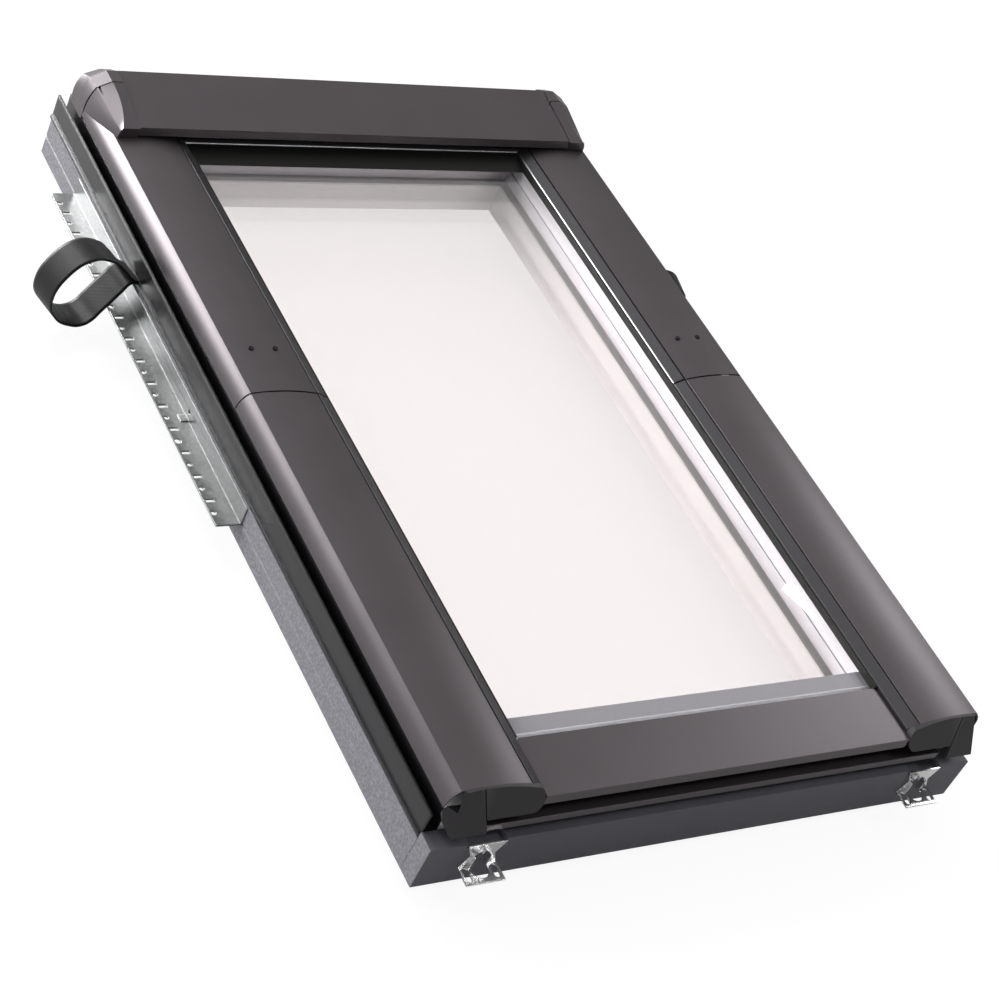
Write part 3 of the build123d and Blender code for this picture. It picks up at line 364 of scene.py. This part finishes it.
spacer_bar, tree, shader = finish_of("anodised_spacer_bar", Metallic=0.3)
place = add(tree, "ShaderNodeTexCoord").outputs["Object"]
drawn = add(tree, "ShaderNodeTexNoise", {"Vector": place, "Scale": per_mm(drawn_line), "Detail": 2.0})
tone = add(tree, "ShaderNodeValToRGB", {"Fac": drawn.outputs["Fac"]})
tone.color_ramp.elements[0].color = linear("#CACACF")
tone.color_ramp.elements[1].color = linear("#D9DADE")
link(tree, tone.outputs["Color"], shader, "Base Color")
shine = add(tree, "ShaderNodeMapRange", {"Value": drawn.outputs["Fac"], "To Min": 0.40, "To Max": 0.5})
link(tree, shine.outputs["Result"], shader, "Roughness")
print("made", spacer_bar.name)

# %% [markdown]
# Float glass is clear and smooth. A path tracer treats solid glass as a wall for the lamps, so a
# mix lets shadow rays pass, as real panes do; the eye still meets the true glass.

# %% Float glass
glass, tree, shader = finish_of(
    "float_glass", Base_Color=linear("#FBF9F9"), Roughness=0.0, IOR=1.5, Transmission_Weight=1.0
)
path = add(tree, "ShaderNodeLightPath")
clear = add(tree, "ShaderNodeBsdfTransparent", {"Color": linear("#FCFAFA")})
through = add(tree, "ShaderNodeMixShader", {
    "Fac": path.outputs["Is Shadow Ray"], 1: shader.outputs["BSDF"], 2: clear.outputs["BSDF"],
})
tree.links.new(through.outputs["Shader"], tree.nodes["Material Output"].inputs["Surface"])
print("made", glass.name)

# %% [markdown]
# The handle and its base plate are die-cast and brushed to a satin. The brush leaves lines along
# X, so the noise is stretched that way; an anisotropic shader would also do, but the lines
# change the shine just as well at this size.

# %% Satin aluminium
brush_line = 0.6
brush_stretch = 0.03

satin_aluminium, tree, shader = finish_of("satin_aluminium", Metallic=1.0)
place = add(tree, "ShaderNodeTexCoord").outputs["Object"]
run = add(tree, "ShaderNodeMapping", {"Vector": place, "Scale": (brush_stretch, 1.0, 1.0)}).outputs["Vector"]
brushed = add(tree, "ShaderNodeTexNoise", {"Vector": run, "Scale": per_mm(brush_line), "Detail": 2.0})
tone = add(tree, "ShaderNodeValToRGB", {"Fac": brushed.outputs["Fac"]})
tone.color_ramp.elements[0].color = linear("#B9BABC")
tone.color_ramp.elements[1].color = linear("#C9CACC")
link(tree, tone.outputs["Color"], shader, "Base Color")
shine = add(tree, "ShaderNodeMapRange", {"Value": brushed.outputs["Fac"], "To Min": 0.25, "To Max": 0.42})
link(tree, shine.outputs["Result"], shader, "Roughness")
print("made", satin_aluminium.name)

# %% [markdown]
# The screws of the covers are stainless steel, blackened to match the coat. Their heads are a few
# pixels wide, so one patchy noise for colour and shine is all that they need.

# %% Blackened screws
worn_patch = 2.0

screw_steel, tree, shader = finish_of("blackened_screw_steel", Metallic=1.0)
place = add(tree, "ShaderNodeTexCoord").outputs["Object"]
worn = add(tree, "ShaderNodeTexNoise", {"Vector": place, "Scale": per_mm(worn_patch), "Detail": 2.0})
tone = add(tree, "ShaderNodeValToRGB", {"Fac": worn.outputs["Fac"]})
tone.color_ramp.elements[0].color = linear("#232226")
tone.color_ramp.elements[1].color = linear("#3A393D")
link(tree, tone.outputs["Color"], shader, "Base Color")
shine = add(tree, "ShaderNodeMapRange", {"Value": worn.outputs["Fac"], "To Min": 0.35, "To Max": 0.5})
link(tree, shine.outputs["Result"], shader, "Roughness")
print("made", screw_steel.name)

# %% [markdown]
# The straps are polyester webbing, woven in slanting ribs of shiny thread. Threads could be
# modelled one by one, but a rib is hardly wider than a pixel: a diagonal wave, laid along the
# band by its own UV map, follows every bend. A wave repeats about three times per unit of scale.

# %% Webbing
thread = 1.4
thread_height = 0.1 * mm
waves_per_scale = 3

webbing, tree, shader = finish_of("polyester_webbing", Specular_IOR_Level=0.3)
along = add(tree, "ShaderNodeUVMap", uv_map="webbing").outputs["UV"]
ribs = add(
    tree, "ShaderNodeTexWave",
    {"Vector": along, "Scale": per_mm(thread) / waves_per_scale, "Distortion": 0.6},
    bands_direction="DIAGONAL",
)
tone = add(tree, "ShaderNodeValToRGB", {"Fac": ribs.outputs["Fac"]})
tone.color_ramp.elements[0].color = linear("#060607")
tone.color_ramp.elements[1].color = linear("#131216")
link(tree, tone.outputs["Color"], shader, "Base Color")
shine = add(tree, "ShaderNodeMapRange", {"Value": ribs.outputs["Fac"], "To Min": 0.38, "To Max": 0.55})
link(tree, shine.outputs["Result"], shader, "Roughness")
bump = add(
    tree, "ShaderNodeBump", {"Height": ribs.outputs["Fac"], "Distance": thread_height, "Strength": 0.5}
)
link(tree, bump.outputs["Normal"], shader, "Normal")
print("made", webbing.name)

# %% [markdown]
# Real edges are never knife-sharp, so a small bevel goes on every node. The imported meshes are
# loose triangles with fixed normals, which a bevel can't work on: a small group of geometry nodes
# first joins them and shades them smooth up to a fold angle. The meshes themselves stay untouched.

# %% Joined and smooth
joint_gap = 0.01 * mm
fold_angle = radians(24)

joined = bpy.data.node_groups.new("joined_and_smooth", "GeometryNodeTree")
joined.interface.new_socket("Geometry", in_out="INPUT", socket_type="NodeSocketGeometry")
joined.interface.new_socket("Geometry", in_out="OUTPUT", socket_type="NodeSocketGeometry")
start = add(joined, "NodeGroupInput").outputs["Geometry"]
plain = add(joined, "GeometryNodeRemoveAttribute", {"Geometry": start, "Name": "custom_normal"})
merged = add(
    joined, "GeometryNodeMergeByDistance", {"Geometry": plain.outputs["Geometry"], "Distance": joint_gap}
)
smooth = add(joined, "GeometryNodeSetShadeSmooth", {"Geometry": merged.outputs["Geometry"]})
edge = add(joined, "GeometryNodeInputMeshEdgeAngle").outputs["Unsigned Angle"]
fold = add(joined, "FunctionNodeCompare", {"A": edge, "B": fold_angle}, operation="GREATER_THAN")
sharp = add(
    joined, "GeometryNodeSetShadeSmooth",
    {"Geometry": smooth.outputs["Geometry"], "Selection": fold.outputs["Result"], "Shade Smooth": False},
    domain="EDGE",
)
add(joined, "NodeGroupOutput", {"Geometry": sharp.outputs["Geometry"]})
print("made", joined.name, "with", len(joined.nodes), "nodes")

# %% [markdown]
# Each CAD node takes the finish of its slot in the record. A few have a finish of their own: the
# strips their darker coat, the brackets their plating with painted light, the bed of the glass its white
# tape, and the caps of the hood the coat of the hood itself. Those caps are drawn from soft curves, so they
# keep their own normals and get no bevel.

# %% Finishes on the nodes
slot_finish = {
    "white_lacquered_timber": white_timber,
    "glass": glass,
    "spacer_bar": spacer_bar,
    "rubber": rubber,
    "coated_aluminium": coated_aluminium,
    "cap_plastic": cap_plastic,
    "foam": foam,
    "gutter_plastic": gutter_plastic,
    "galvanised_steel": galvanised_steel,
    "screw_steel": screw_steel,
    "satin_aluminium": satin_aluminium,
    "webbing": webbing,
}
slot_edge = {
    "white_lacquered_timber": 1.2 * mm,
    "glass": 0.4 * mm,
    "cap_plastic": 0.3 * mm,
    "foam": 1.0 * mm,
    "galvanised_steel": 0.15 * mm,
    "coated_aluminium": 0.6 * mm,
}
thin_edge = 0.3 * mm
strip_edge = 1.3 * mm

strips = [name for name in nodes if "_strip" in name]
coated_caps = ["hood_cap_left", "hood_cap_right", "rear_cap_left", "rear_cap_right"]
own_finish = {
    "bottom_bracket_left": plated_steel_painted_light,
    "bottom_bracket_right": plated_steel_painted_light,
    "bed_gasket": bed_tape,
    **dict.fromkeys(strips, strip_coat),
    **dict.fromkeys(coated_caps, coated_aluminium),
}
node_slot = {part["node"]: part["material_slot"] for part in frame["record"]["subparts"]}
for name, node in nodes.items():
    slot = node_slot[name]
    node.data.materials.clear()
    node.data.materials.append(own_finish.get(name, slot_finish[slot]))
    if name in coated_caps:
        continue
    node.modifiers.new("joined", "NODES").node_group = joined
    rounded = node.modifiers.new("rounded_edges", "BEVEL")
    rounded.width = strip_edge if name in strips else slot_edge.get(slot, thin_edge)
    rounded.segments = 2
    rounded.limit_method = "ANGLE"
    rounded.angle_limit = fold_angle
    rounded.harden_normals = True
print("finished", len(node_slot), "nodes")

# %% [markdown]
# The straps carry the window up to the roof. Each is one band of webbing that comes out under the
# gutter, makes a loop and goes back under itself. Cloth simulation would give such a loop only by
# luck, so the band follows a route of chosen points. First a smooth curve is laid through them.

# %% Line of a band
strap_steps = 8


def band_line(points):
    """Points along a smooth curve through the route, in its own plane."""
    curve = bpy.data.curves.new("band_line", "CURVE")
    curve.dimensions = "3D"
    curve.resolution_u = strap_steps
    spline = curve.splines.new("BEZIER")
    spline.bezier_points.add(len(points) - 1)
    for point, (out, up) in zip(spline.bezier_points, points):
        point.co = (out * mm, 0, up * mm)
        point.handle_left_type = "AUTO"
        point.handle_right_type = "AUTO"
    holder = bpy.data.objects.new("band_line", curve)
    line = [Vector(v.co) for v in bpy.data.meshes.new_from_object(holder).vertices]
    bpy.data.objects.remove(holder)
    return line


# %% [markdown]
# The band is then swept along that line. At each point a ring of corners goes once round the
# band, so it keeps its width and thickness everywhere. A bevelled curve would twist in the tight
# turn and carry no UV map in metres, which the weave needs. The band replaces the plain CAD solid.

# %% Carrying straps
strap_width = 42 * mm
strap_thickness = 2.4 * mm
strap_turn = radians(12)
strap_rows = 13
gutter_side = 388 * mm


def strap(name, side, y, route):
    """A band of webbing on one side of the window, replacing its CAD solid."""
    line = band_line(route)
    mesh = bmesh.new()
    layer = mesh.loops.layers.uv.new("webbing")
    rows = []
    length = 0.0
    for index, point in enumerate(line):
        ahead = line[min(index + 1, len(line) - 1)] - line[max(index - 1, 0)]
        normal = Vector((ahead.z, 0, -ahead.x)).normalized()
        if index:
            length += (point - line[index - 1]).length
        loop = []
        for half in (0.5, -0.5):
            for step in range(strap_rows):
                share = step / (strap_rows - 1) - 0.5
                if half < 0:
                    share = -share
                spot = point + normal * (strap_thickness * half) + Vector((0, strap_width * share, 0))
                loop.append((mesh.verts.new(spot), (length, strap_width * share)))
        rows.append(loop)
    for row, after in zip(rows, rows[1:]):
        for index in range(len(row)):
            corners = [row[index], row[index - 1], after[index - 1], after[index]]
            face = mesh.faces.new([vert for vert, uv in corners])
            for corner, (vert, uv) in zip(face.loops, corners):
                corner[layer].uv = uv
    for row in (rows[0], rows[-1]):
        mesh.faces.new([vert for vert, uv in row])
    bmesh.ops.recalc_face_normals(mesh, faces=mesh.faces)
    data = bpy.data.meshes.new(name)
    turn = Matrix.Rotation(-strap_turn, 4, "Z")
    place = Matrix.Translation((gutter_side, y, 0)) @ turn
    flip = Matrix.Diagonal((side, 1, 1, 1))
    mesh.transform(flip @ place)
    if side < 0:
        bmesh.ops.reverse_faces(mesh, faces=mesh.faces)
    mesh.to_mesh(data)
    mesh.free()
    data.shade_smooth()
    data.materials.append(webbing)
    band = bpy.data.objects.new(name, data)
    bpy.context.scene.collection.objects.link(band)
    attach(band, "frame")
    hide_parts("carry_strap_left" if side < 0 else "carry_strap_right")
    print(name, "length", round(length, 3))


# %% [markdown]
# A route holds pairs in millimetres, out from the gutter's side and up from the frame's underside.
# The left band stands up in a round loop; the right one has sunk and lies on the gutter.

# %% Routes of the straps
raised_route = [
    (3, 80.3), (14, 85.8), (32, 104), (56, 124), (90, 132), (119, 113), (132, 76), (119, 46),
    (92, 27.5), (72, 23.8), (60, 29), (50, 41.5), (39, 55), (27.5, 69.5), (16, 81.8), (3, 77.8),
]
resting_route = [
    (3, 80.3), (14, 84.5), (36, 81), (68, 76.6), (90, 71), (96.5, 62.5), (86, 53), (60, 49.4),
    (37, 54), (26, 66), (14, 80.5), (3, 77.8),
]
strap("left_strap_band", -1, 0.873, raised_route)
strap("right_strap_band", 1, 0.871, resting_route)

# %% [markdown]
# Each glazing strip is folded down to the glass, and from the camera its fold shows a white line
# under the hood and down the right side: a highlight. It is painted in as a thin bead of bare metal
# along the fold, which is simpler than a pale stripe in the material, as that would need a mask on the strip.

# %% Painted highlights on the folds of the strips
fold_bead = 1.4 * mm
fold_rise = 7.0 * mm


def fold_highlight_bead(name, start, end):
    """A bead of bare metal between two ends of a strip's fold: a painted highlight."""
    curve = bpy.data.curves.new(name, "CURVE")
    curve.dimensions = "3D"
    curve.bevel_depth = fold_bead
    curve.use_fill_caps = True
    spline = curve.splines.new("POLY")
    spline.points.add(1)
    for point, place in zip(spline.points, (start, end)):
        point.co = (*place, 1)
    holder = bpy.data.objects.new(name, curve)
    mesh = bpy.data.meshes.new_from_object(holder)
    bpy.data.objects.remove(holder)
    mesh.materials.clear()
    mesh.materials.append(satin_aluminium)
    bead = bpy.data.objects.new(name, mesh)
    bpy.context.scene.collection.objects.link(bead)
    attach(bead, "sash")


top_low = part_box("top_strip")[0]
fold_z = top_low.z + fold_rise
fold_y = top_low.y + fold_bead / 2
fold_x = -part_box("upper_strip_left")[1].x + fold_bead / 2
# Painted highlight: bare-metal beads along the folds of the top strip and the right strip.
fold_highlight_bead("top_strip_fold_highlight", (-fold_x, fold_y, fold_z), (fold_x, fold_y, fold_z))
side_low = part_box("upper_strip_right")[0].y
fold_highlight_bead("side_strip_fold_highlight", (fold_x, side_low, fold_z), (fold_x, fold_y, fold_z))
print("folds at", round(fold_x, 4), round(fold_y, 4), round(fold_z, 4))

# %% [markdown]
# The window stands on white paper. More light would make the paper white but burn out the pale
# timber, so the paper glows for the rays of the eye only, straight or through glass. A share of
# the real paper stays in the mix and keeps the shadow; every other ray meets the real paper.

# %% Floor
floor_drop = 1 * mm
floor_size = 30.0
paper_glow = 1.08
paper_share = 0.85


def eye_share(tree, share):
    """A share for the rays of the eye, straight or through glass, and none for the others."""
    path = add(tree, "ShaderNodeLightPath").outputs
    seen = add(
        tree, "ShaderNodeMath", {0: path["Is Camera Ray"], 1: path["Is Transmission Ray"]},
        operation="MAXIMUM",
    )
    return add(tree, "ShaderNodeMath", {0: seen.outputs["Value"], 1: share}, operation="MULTIPLY").outputs[0]


half = floor_size / 2
low = cad_box[0].z - floor_drop
corners = [(-half, -half, low), (half, -half, low), (half, half, low), (-half, half, low)]
floor_mesh = bpy.data.meshes.new("floor")
floor_mesh.from_pydata(corners, [], [(0, 1, 2, 3)])
floor = bpy.data.objects.new("floor", floor_mesh)
bpy.context.scene.collection.objects.link(floor)
paper, tree, shader = finish_of("studio_paper", Base_Color=linear("#F0F0F0"), Roughness=0.8)
white = add(tree, "ShaderNodeEmission", {"Color": (1, 1, 1, 1), "Strength": paper_glow})
mixed = add(
    tree, "ShaderNodeMixShader",
    {"Fac": eye_share(tree, paper_share), 1: shader.outputs["BSDF"], 2: white.outputs["Emission"]},
)
tree.links.new(mixed.outputs["Shader"], tree.nodes["Material Output"].inputs["Surface"])
floor_mesh.materials.append(paper)
print("floor at", round(low, 4))

# %% [markdown]
# The sky of the studio is bright above and behind and dark in front, as in a room with one large
# window at the back: that is what gives the covers their dark fronts and pale crests. The eye
# itself meets plain white. A gradient by direction is enough; a picture of a room isn't needed.

# %% Sky
sky_axis = (-0.35, 0.66, 0.66)
sky_full = 0.95
sky_dark = 0.06
sky_bright = 0.80

world = bpy.data.worlds.new("studio")
bpy.context.scene.world = world
world.use_nodes = True
tree = world.node_tree
tree.nodes.clear()
toward = add(tree, "ShaderNodeTexCoord").outputs["Generated"]
facing = add(tree, "ShaderNodeVectorMath", {0: toward, 1: sky_axis}, operation="DOT_PRODUCT")
strength = add(
    tree, "ShaderNodeMapRange",
    {
        "Value": facing.outputs["Value"], "From Min": 0.0, "From Max": sky_full,
        "To Min": sky_dark, "To Max": sky_bright,
    },
    interpolation_type="SMOOTHSTEP",
)
sky = add(tree, "ShaderNodeBackground", {"Color": (1, 1, 1, 1), "Strength": strength.outputs["Result"]})
bright = add(tree, "ShaderNodeBackground", {"Color": (1, 1, 1, 1), "Strength": 1.0})
mixed = add(
    tree, "ShaderNodeMixShader",
    {"Fac": eye_share(tree, 1.0), 1: sky.outputs["Background"], 2: bright.outputs["Background"]},
)
add(tree, "ShaderNodeOutputWorld", {"Surface": mixed.outputs["Shader"]})
print("sky", sky_dark, "to", sky_bright)

# %% [markdown]
# Five lamps do the rest. The flanks of the left covers, the gutter and the foam mirror a large lit
# wall on the left; if it also lit them, the white timber would burn out, so it is only mirrored,
# and a weaker lamp beside it only lights. A small wall on the right and a panel high up draw soft
# streaks along the covers, and a faint lamp in front opens up the dark faces of the collar.

# %% Lit walls
def lit_wall(name, place, width, height, power, mirrored=True, lights=True):
    """A rectangular lamp that faces the window; it may only be mirrored, or only light."""
    lamp = bpy.data.lights.new(name, "AREA")
    lamp.shape = "RECTANGLE"
    lamp.size = width
    lamp.size_y = height
    lamp.energy = power
    holder = bpy.data.objects.new(name, lamp)
    bpy.context.scene.collection.objects.link(holder)
    holder.location = place
    holder.visible_glossy = mirrored
    holder.visible_diffuse = lights
    aim = (cad_box[0] + cad_box[1]) / 2 - Vector(place)
    holder.rotation_euler = aim.to_track_quat("-Z", "Y").to_euler()
    print(name, "at", place)


lit_wall("left_wall", (-1.8, 3.9, 1.1), 2.1, 2.0, 350, lights=False)
lit_wall("left_lamp", (-3.0, 1.8, 1.4), 1.6, 1.6, 45, mirrored=False)
lit_wall("right_wall", (2.7, 1.5, 1.95), 0.8, 0.5, 14)
lit_wall("high_panel", (-1.1, 2.6, 2.7), 0.9, 0.9, 24)
lit_wall("front_lamp", (1.3, -0.8, 2.1), 0.5, 0.5, 11)
